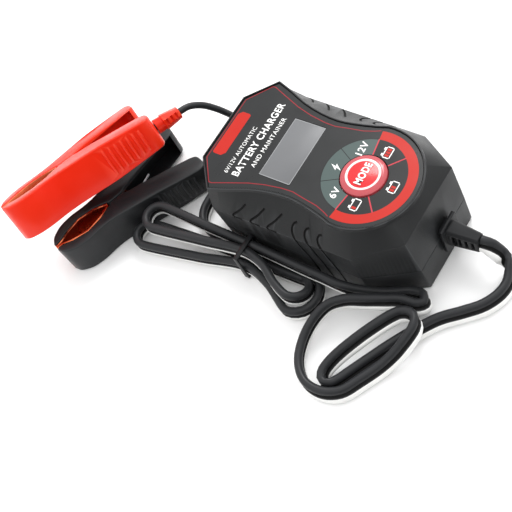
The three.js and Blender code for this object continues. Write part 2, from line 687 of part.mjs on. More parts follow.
// The slotted sleeve where the lead enters the fixed arm.
function leadBoot() {
  const { start, tip, rise } = BOOT;
  const ring = (along, wide, high) => {
    const x = start[0] + (tip[0] - start[0]) * along;
    const y = start[1] + (tip[1] - start[1]) * along;
    const z = rise * along;
    const points = [];
    for (let i = 0; i < 8; i += 1) {
      const angle = ((i + 0.5) / 8) * 2 * Math.PI;
      points.push(V(x, y + wide * Math.cos(angle), z + high * Math.sin(angle)));
    }
    return points;
  };
  const body = loft([ring(0, 3.2, 5), ring(0.3, 3, 4.6), ring(0.32, 4.6, 5.4), ring(1, 3.2, 4)]);
  const slots = [];
  for (let i = 0; i < 3; i += 1) {
    const x = start[0] + 6.6 + 3.2 * i;
    const z = rise * (0.45 + 0.18 * i);
    slots.push(box(x, x + 1.4, -25, start[1] - 2.7, z - 2, z + 2));
    slots.push(box(x, x + 1.4, start[1] + 2.3, -5, z - 2, z + 2));
  }
  return cutAll(body, slots);
}

function clampPlace({ nose, yaw, pitch, roll }) {
  const place = new THREE.Group();
  const [turn, lift, lean] = [yaw, pitch, roll].map(THREE.MathUtils.degToRad);
  const along = V(
    Math.cos(turn) * Math.cos(lift), Math.sin(turn) * Math.cos(lift), Math.sin(lift));
  const level = V(-Math.sin(turn), Math.cos(turn), 0);
  const above = V(0, 0, 0).crossVectors(along, level);
  const across = level.multiplyScalar(Math.cos(lean)).addScaledVector(above, -Math.sin(lean));
  const pivotAxis = V(0, 0, 0).crossVectors(along, across);
  const basis = new THREE.Matrix4().makeBasis(along, across, pivotAxis);
  place.quaternion.setFromRotationMatrix(basis);
  place.position.set(...nose);
  group.add(place);
  return place;
}

function addClamp(prefix, plastic, place) {
  add(`${prefix}_fixed_arm_cover`, armCover(-1), plastic, place);
  add(`${prefix}_free_arm_cover`, armCover(1), plastic, place);
  add(`${prefix}_fixed_jaw`, jaw(-1, EARS.fixed), 'copper', place);
  add(`${prefix}_free_jaw`, jaw(1, EARS.free), 'copper', place);
  add(`${prefix}_pivot_pin`, pivotPin(), 'steel', place);
  add(`${prefix}_clamp_spring`, clampSpring(), 'steel', place);
  add(`${prefix}_lead_boot`, leadBoot(), plastic, place);
}

// ---------------------------------------------------------------- assembly

add('upper_shell', upperShell(), 'housing');
add('lower_shell', lowerShell(), 'housing');
SCREWS.forEach(([x, y], i) => add(`housing_screw_${i + 1}`, housingScrew(x, y), 'steel'));
add('label_overlay', labelOverlay(), 'label');
add('lcd_window', lcdWindow(), 'display');
add('lcd_module', lcdModule(), 'display');
add('mode_button', modeButton(), 'clearRed');
add('button_switch', buttonSwitch(), 'blackPlastic');
ledPlaces().forEach(([x, y], i) => {
  add(`indicator_lamp_${i + 1}`, lamp(x, y), i < 3 ? 'lampGreen' : 'lampRed');
});

add('circuit_board', circuitBoard(), 'board');
add('transformer_core', transformerCore(), 'iron');
add('transformer_winding', transformerWinding(), 'winding');
add('capacitor_1', capacitor(-8, -34, 8, 24), 'capacitor');
add('capacitor_2', capacitor(9, -30, 5, 18), 'capacitor');
add('heat_sink', heatSink(), 'aluminium');
add('power_transistor', powerTransistor(), 'blackPlastic');
add('fuse', fuse(), 'glass');
add('mains_inlet', mainsInlet(), 'blackPlastic');
add('inlet_pin_left', inletPin(-PIN.x), 'steel');
add('inlet_pin_right', inletPin(PIN.x), 'steel');

add('cord_strain_relief', strainRelief(), 'cord');
add('dc_cord', flatCord(CORD_ROUTE, 70), 'cord');
add('dc_cord_hank', hank(), 'cord');
add('dc_cord_tail', flatCord(TAIL_ROUTE, 8), 'cord');
add('twist_tie', twistTie(), 'cord');
add('lead_splitter', leadSplitter(), 'cord');
add('red_lead', roundLead(RED_LEAD_ROUTE, 14), 'cord');
add('black_lead', roundLead(BLACK_LEAD_ROUTE, 10), 'cord');

addClamp('black', 'blackPlastic', clampPlace(BLACK_CLAMP));
addClamp('red', 'redPlastic', clampPlace(RED_CLAMP));

export default group;
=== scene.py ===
import bmesh
import bpy
import math
from mathutils import Matrix, Vector


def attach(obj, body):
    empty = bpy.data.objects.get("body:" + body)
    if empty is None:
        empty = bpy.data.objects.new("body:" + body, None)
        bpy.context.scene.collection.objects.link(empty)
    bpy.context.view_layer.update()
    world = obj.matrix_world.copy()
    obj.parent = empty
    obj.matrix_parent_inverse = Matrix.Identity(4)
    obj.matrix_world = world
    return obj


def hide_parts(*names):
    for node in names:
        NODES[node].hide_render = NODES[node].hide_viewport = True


# Battery charger with two clamps. Lengths in this script are millimetres unless a name says
# otherwise, and every mesh is made in metres through MM.

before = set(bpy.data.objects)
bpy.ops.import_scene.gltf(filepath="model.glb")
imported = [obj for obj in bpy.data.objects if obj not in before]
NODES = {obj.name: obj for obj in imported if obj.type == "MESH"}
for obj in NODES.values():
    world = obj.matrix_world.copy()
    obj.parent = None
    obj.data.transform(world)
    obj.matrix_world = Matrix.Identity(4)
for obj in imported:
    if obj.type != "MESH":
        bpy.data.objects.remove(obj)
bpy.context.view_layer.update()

MM = 0.001

# ------------------------------------------------------------ driving dimensions

PARTING_Z = 18.7
ROOF_Z = 49.9
SEAT_Z = 52.1
RIM_Z = 51.4
LIP_Z = 53.6
LIP_WIDTH = 1.3
GAP = 0.3
WALL = 2.2
LABEL_TOP = 52.8

BUTTON_Y = -29.0
RIM_RADIUS = 32.7
BUTTON_RADIUS = 12.8
BUTTON_HOLE = BUTTON_RADIUS + 0.5
SECTOR_INNER = 13.4
SECTOR_OUTER = 23.3
RING_OUTER = 28.7
# The grey sectors run anticlockwise from the first angle to the last, the others from last to first.
GREY_FIRST = 9
GREY_LAST = 171
CORNER_ANGLE = 33.8
SHOULDER_ANGLE = 74.5

WINDOW_X = 19.5
WINDOW_Y = (6.7, 26.6)
VENT_Z = 15.0
VENT_RADIUS = 0.65
VENTS = [(38, 3.5), (33, 9), (28.3, 11), (23.5, 13), (18.5, 12.5), (13.8, 9.5), (9, 5.5)]
GROOVE_RADIUS = 0.72
PARTING_GAP = 0.22
BASE_CHAMFER = 0.9
COUNTERBORE_RADIUS = 3.4
SCREWS = [(33, 40), (-33, 40), (27, -42), (-27, -42)]

RELIEF_X = 2.5
RELIEF_Z = 19.0
# Half the width and half the height of the hole that the strain relief sits in.
RELIEF_NECK = (4.5, 6.0)
INLET_X = 12.3
INLET_Z = (22.7, 37.3)
CONDUCTOR = 2.4
LEAD_RADIUS = 2.1
HANK_LOW = 6.1
HANK_HIGH = 15.8
# The white stripe is the underside of the lower conductor, up to this height from the middle.
STRIPE_TOP = -1.3
# Half the height of the cleft between the two conductors, which is painted dark as shade.
CLEFT = 0.8
# How far the free loop of the cord leans back, where along Y it begins to, and over what run.
LEAN = Vector((0.45, 0.6, 0.0))
LEAN_START = -30.0
LEAN_RUN = 25.0

# Half outlines of the housing, from the middle of the cord end round to the mains end.
BASE = [(0, -70.5, 0), (23.3, -70.5, 0), (39.5, -42, 0), (40.8, 48, 0), (22.5, 67, 0), (0, 68, 0)]
PARTING = [(0, -68.9, PARTING_Z), (24, -68.9, PARTING_Z), (40.2, -41.3, PARTING_Z),
           (41.7, 48.8, PARTING_Z), (23.2, 69.3, PARTING_Z), (0, 70.4, PARTING_Z)]
CREASE = [(0, -65.9, 45.7), (24.7, -65.9, 45.7), (40.8, -40.3, 39), (42.5, 49.5, 39),
          (23, 68, 43.5), (0, 68, 44)]
RIM_SHOULDER = (39.1, 50)
RIM_CORNER = (21.8, 65.2)
WAIST = [(-26, 32.6), (-22, 31.3), (-17, 30), (-7, 28), (2.5, 27), (14, 28), (27, 31),
         (38.5, 35.3), (50, 39.1)]
SIDE_Y = [-34, -30, -26, -24, -22, -19.5, -17, -12, -7, -2.2, 2.5, 8.2, 14, 20.5, 27, 33, 38.5, 44]
END_STEPS = 4
SHOULDER_STEPS = 14
MAINS_STEPS = 4

# Route of the flat cord from the strain relief to the hank.
CORD_ROUTE = [
    (2.5, -89.8, 19), (2.5, -92.6, 19), (2.9, -96.5, 15.5), (2.8, -101, 9.6), (-0.5, -105.6, 5.9),
    (-7, -108.2, 4.9), (-15, -107.6, 4.9), (-24, -103, 4.9), (-32, -95, 4.9), (-40, -86, 4.9),
    (-50, -78.5, 4.9), (-62, -71, 4.9), (-74, -64.5, 4.9), (-85, -58.8, 4.9), (-92.3, -55, 4.9),
    (-96.2, -51.8, 5.1), (-96.4, -47.6, 5.7), (-92.6, -45.5, 6.5), (-86.8, -46.4, 7.6),
    (-80, -49.4, 9.4), (-72, -53.8, 11.3), (-62, -60, 13.7), (-53, -65.6, 14.5),
    (-48.6, -69.4, 14.6), (-46.9, -74, 14.6), (-48.9, -78.4, 14.8), (-53.4, -80.2, 14.8),
    (-59.5, -79.4, 13), (-67, -76.4, 8.9), (-76, -71.8, 5.7), (-88, -65.2, 4.9),
    (-97.6, -59.2, 4.9), (-102, -50.5, 4.9), (-101, -39, 4.9), (-93, -29.5, 4.9), (-81, -25, 5.7),
    (-68.5, -26, 9.4), (-59.5, -30.5, 12.8), (-53.8, -38.5, 14.5), (-49.6, -49, 14.6),
    (-45.6, -58.5, 14.4), (-42, -65.5, 12.8), (-40.6, -72, 10), (-36.6, -75.4, 7.8),
    (-32.2, -72.4, 6.4), (-32.6, -65.5, 5.6), (-36.8, -57.5, 5.6), (-41.2, -48.8, 7),
    (-45, -39.5, 10.6), (-47.2, -30.5, 14.3), (-47.4, -20, 15.8),
]

# Route of the flat cord from the hank to the splitter.
TAIL_ROUTE = [
    (-45.6, 58, 6.1), (-45, 63, 5.7), (-43.4, 68.6, 5.1), (-40, 73.8, 4.9), (-34.2, 77.4, 4.9),
    (-27, 78.6, 4.9), (-16, 78.4, 4.9), (-4, 77.4, 4.9), (3.6, 77.2, 4.9),
]

RED_LEAD_ROUTE = [
    (19.4, 74.8, 2.3), (27, 74.2, 2.2), (35, 74.6, 2.2), (43.5, 76.8, 2.2), (49, 82, 2.2),
    (50.3, 89, 2.2), (46.8, 94.6, 2.5), (41, 96.8, 4), (35.2, 95.8, 7), (30.4, 93.4, 11.5),
    (26.8, 91.6, 17), (24, 91.8, 23.4), (20.8, 95.4, 30.6), (16.4, 100, 37.4), (10.4, 103.9, 42),
]

BLACK_LEAD_ROUTE = [
    (19.4, 79.6, 2.3), (28, 79.4, 2.2), (35, 80, 2.2), (40, 83, 2.4), (40.8, 87.8, 3.2),
    (36.6, 90.6, 4.8), (30.6, 89, 7), (24.6, 85.8, 9.6), (18.5, 83.2, 11.2), (12.5, 83.2, 11.2),
    (7, 84.8, 11.1),
]

# Outlines of one clamp: x from the nose to the grips, y across, z along the pivot.
COVER_OUTSIDE = [(0, 2.8), (2.1, 7.4), (9.5, 11.6), (19, 12.6), (28.4, 11.6), (37.8, 12.1),
                 (63, 17.9), (94.5, 25.2), (98.7, 24.2), (100.3, 20)]
COVER_INSIDE = [(99.8, 13.7), (94.5, 11.6), (65, 4.7), (54.6, 2.1), (51, 0.3), (41.6, 0.3),
                (40.6, 1.6), (37.7, 2.7), (31.5, 5.2), (21, 6.8), (10.5, 4.7), (4.4, 1.8),
                (0, 1.6)]
COVER_HOLLOW = [(4, 8.2), (10.2, 9.3), (19, 10.4), (28.4, 9.4), (38.2, 9.9), (63.4, 15.7),
                (94, 22.8), (97, 21), (97, -1), (4, -1)]
CLAMP_HALF = 12.0
CLAMP_CHEEK = 2.5
GRIP_TAPER = [(66, 12.0), (101, 9.6)]
PIVOT_X = 49.4
RIB_RADIUS = 1.05
RIB_FIRST = 66.5
RIB_PITCH = 3.9
RIB_COUNT = 7
SPRING_RADIUS = 3.8
SPRING_WIRE = 0.72
SPRING_TURNS = 5
# Inside the clamp the lead runs on from the boot along the fixed arm.
LEAD_INSIDE = [(117.3, -17.5, -1), (100.9, -17.2, 0), (80, -14, 0), (60, -8.5, 0)]
CLAMPS = {
    "black": {"nose": (-98, 141, 12.1), "yaw": -19.7, "pitch": 0.0, "roll": 0.0},
    "red": {"nose": (-100.6, 161.9, 43.3), "yaw": -20.2, "pitch": -3.5, "roll": 27.7},
}


# ------------------------------------------------------------ camera

def make_camera():
    data = bpy.data.cameras.new("camera")
    data.lens = 70.3125
    data.sensor_width = 36.0
    data.clip_start = 0.01
    data.clip_end = 50.0
    camera = bpy.data.objects.new("camera", data)
    bpy.context.scene.collection.objects.link(camera)
    right = (0.52183, -0.78913, -0.32399)
    up = (0.80840, 0.33619, 0.48318)
    back = (-0.27236, -0.51405, 0.81337)
    turn = Matrix((right, up, back)).transposed().to_4x4()
    camera.matrix_world = Matrix.Translation(Vector((-203.2, -264.6, 471.2)) * MM) @ turn
    bpy.context.scene.camera = camera


make_camera()


# ------------------------------------------------------------ materials

def linear(code):
    """A hex colour code as linear red, green, blue and alpha."""
    values = [int(code[i:i + 2], 16) / 255 for i in (0, 2, 4)]
    return [v / 12.92 if v <= 0.04045 else ((v + 0.055) / 1.055) ** 2.4 for v in values] + [1.0]


def surface(name, code, roughness, metallic=0.0, grain=0.35, bump=0.25, mottle=0.12,
            wear_and_sheen=None, coat=0.0, transmission=0.0, specular=0.25):
    """A procedural finish: grain is its size in mm, mottle how much its tone varies, and wear_and_sheen
    the colour that its edges take, partly edge wear and partly a painted highlight on convex edges."""
    material = bpy.data.materials.new(name)
    material.use_nodes = True
    nodes = material.node_tree.nodes
    link = material.node_tree.links.new
    shader = nodes["Principled BSDF"]
    shader.inputs["Metallic"].default_value = metallic
    shader.inputs["Coat Weight"].default_value = coat
    shader.inputs["Coat Roughness"].default_value = 0.12
    shader.inputs["Transmission Weight"].default_value = transmission
    shader.inputs["Specular IOR Level"].default_value = specular

    place = nodes.new("ShaderNodeTexCoord")
    fine = nodes.new("ShaderNodeTexNoise")
    fine.inputs["Scale"].default_value = 1.0 / (grain * MM)
    fine.inputs["Detail"].default_value = 3.0
    link(place.outputs["Object"], fine.inputs["Vector"])
    broad = nodes.new("ShaderNodeTexNoise")
    broad.inputs["Scale"].default_value = 70.0
    broad.inputs["Detail"].default_value = 4.0
    link(place.outputs["Object"], broad.inputs["Vector"])

    colour = linear(code)
    tone = nodes.new("ShaderNodeMixRGB")
    tone.inputs["Color1"].default_value = [c * (1 - mottle) for c in colour[:3]] + [1.0]
    tone.inputs["Color2"].default_value = [min(1.0, c * (1 + mottle)) for c in colour[:3]] + [1.0]
    link(broad.outputs["Fac"], tone.inputs["Fac"])
    painted = tone.outputs["Color"]
    # Convex edges, found by pointiness, take a lighter colour: partly edge wear, partly a painted
    # highlight.
    if wear_and_sheen:
        geometry = nodes.new("ShaderNodeNewGeometry")
        edge = nodes.new("ShaderNodeMapRange")
        edge.inputs["From Min"].default_value = 0.52
        edge.inputs["From Max"].default_value = 0.62
        edge.inputs["To Max"].default_value = 0.7
        link(geometry.outputs["Pointiness"], edge.inputs["Value"])
        wear_and_sheen_mix = nodes.new("ShaderNodeMixRGB")
        wear_and_sheen_mix.inputs["Color2"].default_value = linear(wear_and_sheen)
        link(edge.outputs["Result"], wear_and_sheen_mix.inputs["Fac"])
        link(painted, wear_and_sheen_mix.inputs["Color1"])
        painted = wear_and_sheen_mix.outputs["Color"]
    link(painted, shader.inputs["Base Color"])

    gloss = nodes.new("ShaderNodeMapRange")
    gloss.inputs["From Min"].default_value = 0.3
    gloss.inputs["From Max"].default_value = 0.7
    gloss.inputs["To Min"].default_value = max(0.02, roughness - 0.07)
    gloss.inputs["To Max"].default_value = min(1.0, roughness + 0.07)
    link(broad.outputs["Fac"], gloss.inputs["Value"])
    link(gloss.outputs["Result"], shader.inputs["Roughness"])

    relief = nodes.new("ShaderNodeBump")
    relief.inputs["Strength"].default_value = bump
    relief.inputs["Distance"].default_value = grain * MM * 0.35
    link(fine.outputs["Fac"], relief.inputs["Height"])
    link(relief.outputs["Normal"], shader.inputs["Normal"])
    return material


# The edge colours given below are partly wear and partly a painted highlight on convex edges.
HOUSING = surface("housing_plastic", "1D1E1F", 0.4, grain=0.5, bump=0.3, wear_and_sheen="4A4C4E")
# A near black painted shade, laid on the walls of the housing's grooves and in the cord's cleft.
GROOVE_SHADE = surface("groove_shadow", "060606", 0.7, grain=0.5, bump=0.2)
LABEL = surface("label_film", "1E1F20", 0.33, grain=0.25, bump=0.12, mottle=0.06)
RED_INK = surface("red_ink", "B01400", 0.38, grain=0.25, bump=0.1, mottle=0.04)
GREY_INK = surface("grey_ink", "445250", 0.38, grain=0.25, bump=0.1, mottle=0.05)
BLACK_INK = surface("black_ink", "151617", 0.38, grain=0.25, bump=0.1)
PINK_INK = surface("pink_ink", "B8303E", 0.4, grain=0.25, bump=0.1, mottle=0.05)
BORDER_INK = surface("border_ink", "8C1622", 0.4, grain=0.25, bump=0.1, mottle=0.05)
WHITE_INK = surface("white_ink", "F2F2F0", 0.45, grain=0.25, bump=0.1, mottle=0.03)
DISPLAY = surface("display_glass", "6A6B6D", 0.36, grain=1.2, bump=0.04, mottle=0.04)
DISPLAY_EDGE = surface("display_edge", "8C8D8F", 0.4, grain=0.3, bump=0.1)
BUTTON_CLEAR = surface("button_clear", "C24A52", 0.2, grain=1.0, bump=0.08, mottle=0.16, coat=0.5,
                       transmission=0.2)
BUTTON_WHITE = surface("button_white", "F4DCDA", 0.3, grain=0.6, bump=0.08, mottle=0.05, coat=0.2)
BUTTON_RED = surface("button_red", "CC141C", 0.25, grain=0.8, bump=0.08, mottle=0.1, coat=0.4)
CORD_BLACK = surface("cord_jacket", "27282A", 0.42, grain=0.6, bump=0.3, mottle=0.15)
CORD_WHITE = surface("cord_stripe", "EDEDEB", 0.45, grain=0.6, bump=0.2, mottle=0.04)
RELIEF_RUBBER = surface("relief_rubber", "17181A", 0.48, grain=0.5, bump=0.35)
CLAMP_RED = surface("clamp_red", "EA2200", 0.34, grain=0.7, bump=0.15, mottle=0.05, wear_and_sheen="FF5A3C",
                    coat=0.2)
CLAMP_BLACK = surface("clamp_black", "1D1E20", 0.38, grain=0.6, bump=0.25, wear_and_sheen="55585A")
COPPER = surface("copper", "D0714C", 0.26, metallic=1.0, grain=0.4, bump=0.25, mottle=0.18)
STEEL = surface("steel", "A9ACAF", 0.3, metallic=1.0, grain=0.3, bump=0.2)
NICKEL = surface("nickel", "C3C2BA", 0.25, metallic=1.0, grain=0.3, bump=0.15)
IRON = surface("core_iron", "55565A", 0.5, metallic=1.0, grain=0.5, bump=0.4)
WINDING = surface("winding_copper", "B06A2E", 0.38, metallic=1.0, grain=0.5, bump=0.6)
ALUMINIUM = surface("aluminium", "B8BABC", 0.4, metallic=1.0, grain=0.3, bump=0.3)
BOARD_GREEN = surface("board_green", "2D5A34", 0.45, grain=0.4, bump=0.3)
SLEEVE = surface("capacitor_sleeve", "2B3350", 0.35, grain=0.4, bump=0.15)
GLASS = surface("fuse_glass", "DFE6E6", 0.1, grain=0.8, bump=0.05, transmission=0.7)
DARK_PLASTIC = surface("dark_plastic", "17181A", 0.42, grain=0.4, bump=0.25)
LAMP_RED = surface("lamp_red", "D8422C", 0.2, grain=0.6, bump=0.05, transmission=0.4)
LAMP_GREEN = surface("lamp_green", "4FAE5A", 0.2, grain=0.6, bump=0.05, transmission=0.4)


# ------------------------------------------------------------ mesh helpers

def add_mesh(name, points, faces, materials, smooth=30.0):
    """A new object from points in millimetres. Edges sharper than smooth degrees stay crisp."""
    mesh = bpy.data.meshes.new(name)
    mesh.from_pydata([Vector(p) * MM for p in points], [], faces)
    for material in materials:
        mesh.materials.append(material)
    mesh.validate()
    soften(mesh, smooth)
    piece = bpy.data.objects.new(name, mesh)
    bpy.context.scene.collection.objects.link(piece)
    return piece


def soften(mesh, degrees):
    """Smooth shading, with edges sharper than that many degrees left crisp."""
    mesh.polygons.foreach_set("use_smooth", [True] * len(mesh.polygons))
    mesh.set_sharp_from_angle(angle=math.radians(degrees))


def bevel(piece, width, segments=3, degrees=30.0):
    """A modifier that rounds the piece's sharp edges, by a width in millimetres."""
    step = piece.modifiers.new("Edges", "BEVEL")
    step.width = width * MM
    step.segments = segments
    step.limit_method = "ANGLE"
    step.angle_limit = math.radians(degrees)
    step.use_clamp_overlap = True


def settle(piece, smooth=30.0):
    """Applies the piece's modifiers."""
    graph = bpy.context.evaluated_depsgraph_get()
    mesh = bpy.data.meshes.new_from_object(piece.evaluated_get(graph))
    piece.modifiers.clear()
    piece.data = mesh
    soften(mesh, smooth)


def carve(piece, cutters, operation="DIFFERENCE", smooth=30.0):
    """Cuts all the cutters out of the piece, or into it, and removes them."""
    group = bpy.data.collections.new("cutters")
    bpy.context.scene.collection.children.link(group)
    for cutter in cutters:
        group.objects.link(cutter)
    step = piece.modifiers.new("Cut", "BOOLEAN")
    step.operation = operation
    step.solver = "EXACT"
    step.material_mode = "TRANSFER"
    step.operand_type = "COLLECTION"
    step.collection = group
    settle(piece, smooth)
    for cutter in cutters:
        bpy.data.objects.remove(cutter)
    bpy.data.collections.remove(group)


def copy_of(piece, name):
    twin = bpy.data.objects.new(name, piece.data.copy())
    bpy.context.scene.collection.objects.link(twin)
    return twin


def loft(name, rings, materials, closed=True, smooth=30.0):
    """A skin over rings with equal numbers of points, with flat ends."""
    count = len(rings[0])
    points = [p for ring in rings for p in ring]
    faces = []
    for level in range(len(rings) - 1):
        for i in range(count):
            low = level * count + i
            low_next = level * count + (i + 1) % count
            faces.append((low, low_next, low_next + count, low + count))
    if closed:
        last = (len(rings) - 1) * count
        faces.append(tuple(reversed(range(count))))
        faces.append(tuple(range(last, last + count)))
    return add_mesh(name, points, faces, materials, smooth=smooth)


def prism(name, outline, z0, z1, materials):
    """An outline in X and Y, extruded from z0 to z1."""
    rings = [[(x, y, z) for x, y in outline] for z in (z0, z1)]
    return loft(name, rings, materials)


def block(name, x0, x1, y0, y1, z0, z1):
    return prism(name, [(x0, y0), (x1, y0), (x1, y1), (x0, y1)], z0, z1, [])


def disc_outline(radius, x, y, sides=48):
    turns = [i / sides * math.tau for i in range(sides)]
    return [(x + radius * math.cos(a), y + radius * math.sin(a)) for a in turns]


def turned(name, profile, x, y, materials, bands=None, sides=64):
    """A turned shape from (radius, height) points. bands gives each step's material."""
    rings = []
    for radius, height in profile:
        rings.append([(px, py, height) for px, py in disc_outline(radius, x, y, sides)])
    piece = loft(name, rings, materials)
    if bands:
        indices = [band for band in bands for _ in range(sides)] + [bands[0], bands[-1]]
        piece.data.polygons.foreach_set("material_index", indices)
    return piece


# ------------------------------------------------------------ routes and tubes

def catmull(route, spacing):
    """Points about spacing apart along a centripetal Catmull-Rom curve through the route."""
    line = [Vector(p) for p in route]
    padded = [line[0] * 2 - line[1]] + line + [line[-1] * 2 - line[-2]]
    points = []
    for i in range(1, len(padded) - 2):
        a, b, c, d = padded[i - 1:i + 3]
        knots = [0.0]
        for start, end in ((a, b), (b, c), (c, d)):
            knots.append(knots[-1] + max(1e-6, (end - start).length) ** 0.5)
        steps = max(1, round((c - b).length / spacing))
        for k in range(steps):
            points.append(on_span((a, b, c, d), knots, knots[1] + (knots[2] - knots[1]) * k / steps))
    return points + [line[-1]]


def weigh(a, b, start, end, t):
    """The point at t on the line that is at a at start and at b at end."""
    return a * ((end - t) / (end - start)) + b * ((t - start) / (end - start))


def on_span(corners, knots, t):
    """The point at knot value t between the two middle corners of four."""
    level = corners
    for pairs in ([(0, 1), (1, 2), (2, 3)], [(0, 2), (1, 3)], [(1, 2)]):
        level = [weigh(level[i], level[i + 1], knots[low], knots[high], t)
                 for i, (low, high) in enumerate(pairs)]
    return level[0]


def tangents_of(points):
    last = len(points) - 1
    return [(points[min(last, i + 1)] - points[max(0, i - 1)]).normalized()
            for i in range(last + 1)]


def twin_section():
    """The twin cord's outline, (left, up), and the material of each of its sides."""
    outline = []
    for centre, start, end in ((CONDUCTOR, -55, 235), (-CONDUCTOR, 125, 415)):
        steps = 18
        for i in range(steps + 1):
            angle = math.radians(start + (end - start) * i / steps)
            outline.append((CONDUCTOR * math.cos(angle), centre + CONDUCTOR * math.sin(angle)))
    sides = []
    for (_, y0), (_, y1) in zip(outline, outline[1:] + outline[:1]):
        middle = (y0 + y1) / 2
        if middle < STRIPE_TOP:
            sides.append(1)
        else:
            # Sides in the cleft take the painted shade of the groove material.
            sides.append(2 if abs(middle) < CLEFT else 0)
    return outline, sides


def leaning(point):
    """The flat cord's up direction: upright beside the housing, leaning back in the free loop."""
    share = min(1.0, max(0.0, (LEAN_START - point.y) / LEAN_RUN))
    return Vector((0, 0, 1)) + LEAN * share


def sweep(name, points, outline, sides, materials, upright):
    """A tube of that outline along the points. A flat cord's height follows leaning()."""
    rings = []
    lift = Vector((0, 0, 1))
    for point, tangent in zip(points, tangents_of(points)):
        if upright:
            lift = leaning(point)
        across = lift.cross(tangent).normalized()
        lift = tangent.cross(across)
        rings.append([point + across * left + lift * high for left, high in outline])
    piece = loft(name, rings, materials, smooth=50.0)
    if sides:
        indices = sides * (len(rings) - 1) + [0, 0]
        piece.data.polygons.foreach_set("material_index", indices)
    return piece


# The hank's bends, in order: centre x, centre y, radius, height at its start and at its end.
HANK_BENDS = [
    (-52.8, 95, 7.6, HANK_HIGH, HANK_HIGH), (-57.5, -7, 7.6, HANK_HIGH, HANK_LOW),
    (-62, 101, 7.6, HANK_LOW, HANK_LOW), (-57.5, -7, 12.6, HANK_LOW, HANK_LOW),
]
# Where each run between two bends passes through the tie and beside it: (x, y).
HANK_RUNS = [
    [(-47.3, -8), (-46.7, 10), (-46.2, 30), (-45.9, 60)],
    [(-55.6, 62), (-51.1, 30), (-54.2, 16), (-61.5, 3)],
    [(-50.6, 12), (-50.8, 30), (-51.4, 60)],
    [(-62.3, 62), (-55.7, 30), (-60.5, 12)],
    [(-45.6, 12), (-45.9, 30), (-45.8, 48)],
]


def bend(cx, cy, radius, first, z0, z1):
    """Points round half a turn from an angle in degrees, anticlockwise."""
    steps = 12
    points = []
    for i in range(steps + 1):
        share = i / steps
        angle = math.radians(first + 180 * share)
        z = z0 + (z1 - z0) * share
        points.append((cx + radius * math.cos(angle), cy + radius * math.sin(angle), z))
    return points


def hank_route():
    """The folded cord, from the high layer down to the low one."""
    route = []
    for i, run in enumerate(HANK_RUNS):
        height = HANK_BENDS[i][3] if i < len(HANK_BENDS) else HANK_LOW
        route += [(x, y, height) for x, y in run]
        if i < len(HANK_BENDS):
            cx, cy, radius, z0, z1 = HANK_BENDS[i]
            route += bend(cx, cy, radius, 0 if i % 2 == 0 else 180, z0, z1)
    return route


def clamp_place(spec):
    """The matrix that puts a clamp, in millimetres, in its place."""
    yaw, pitch, roll = (math.radians(spec[key]) for key in ("yaw", "pitch", "roll"))
    along = Vector((math.cos(yaw) * math.cos(pitch), math.sin(yaw) * math.cos(pitch),
                    math.sin(pitch)))
    level = Vector((-math.sin(yaw), math.cos(yaw), 0))
    across = level * math.cos(roll) - along.cross(level) * math.sin(roll)
    turn = Matrix((along, across, along.cross(across))).transposed().to_4x4()
    return Matrix.Translation(Vector(spec["nose"])) @ turn


PLACES = {colour: clamp_place(spec) for colour, spec in CLAMPS.items()}


# ------------------------------------------------------------ cords

def make_cord():
    """The flat twin cord, from the strain relief through the hank to the splitter."""
    points = catmull(CORD_ROUTE + hank_route() + TAIL_ROUTE, 2.2)
    outline, sides = twin_section()
    cord = sweep("dc_twin_cord", points, outline, sides, [CORD_BLACK, CORD_WHITE, GROOVE_SHADE], True)
    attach(cord, "charger")
    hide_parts("dc_cord", "dc_cord_hank", "dc_cord_tail")
    return cord, points


def make_lead(colour, route):
    """A round lead from the splitter into its clamp."""
    place = PLACES[colour]
    inside = [place @ Vector(p) for p in LEAD_INSIDE]
    points = catmull(route + inside, 2.0)
    outline = disc_outline(LEAD_RADIUS, 0, 0, 20)
    lead = sweep(colour + "_lead_wire", points, outline, None, [CORD_BLACK], False)
    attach(lead, "charger")
    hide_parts(colour + "_lead")
    return lead, points


cord, cord_points = make_cord()
red_lead, red_points = make_lead("red", RED_LEAD_ROUTE)
black_lead, black_points = make_lead("black", BLACK_LEAD_ROUTE)


# ------------------------------------------------------------ housing outlines

def between(a, b, share):
    """The point that share of the way from a to b."""
    return tuple(p + (q - p) * share for p, q in zip(a, b))


def waist(y):
    """The rim's half width at y, along a smooth curve through the waist table."""
    if y <= WAIST[0][0]:
        return math.sqrt(RIM_RADIUS ** 2 - (y - BUTTON_Y) ** 2)
    slopes = []
    last = len(WAIST) - 1
    for i in range(last + 1):
        (y0, x0), (y1, x1) = WAIST[max(0, i - 1)], WAIST[min(last, i + 1)]
        slopes.append((x1 - x0) / (y1 - y0))
    for i in range(last):
        (y0, x0), (y1, x1) = WAIST[i], WAIST[i + 1]
        if y <= y1:
            run = y1 - y0
            t = (y - y0) / run
            return (x0 * (1 + 2 * t) * (1 - t) ** 2 + slopes[i] * run * t * (1 - t) ** 2
                    + x1 * t * t * (3 - 2 * t) - slopes[i + 1] * run * t * t * (1 - t))
    return WAIST[-1][1]


def mirrored(half):
    """A closed outline from its half, whose two ends are on the centre line."""
    return half + [(-x, y, z) for x, y, z in reversed(half[1:-1])]


def level_outline(level):
    """The whole outline at one of the housing's levels, from its six corners on one side."""
    middle, corner, shoulder, far_shoulder, far_corner, far_middle = level
    points = [between(middle, corner, i / END_STEPS) for i in range(END_STEPS)]
    points += [between(corner, shoulder, i / SHOULDER_STEPS) for i in range(SHOULDER_STEPS + 1)]
    run = far_shoulder[1] - shoulder[1]
    points += [between(shoulder, far_shoulder, (y - shoulder[1]) / run) for y in SIDE_Y]
    points += [between(far_shoulder, far_corner, i / MAINS_STEPS) for i in range(MAINS_STEPS)]
    points += [between(far_corner, far_middle, i / END_STEPS) for i in range(END_STEPS + 1)]
    return mirrored(points)


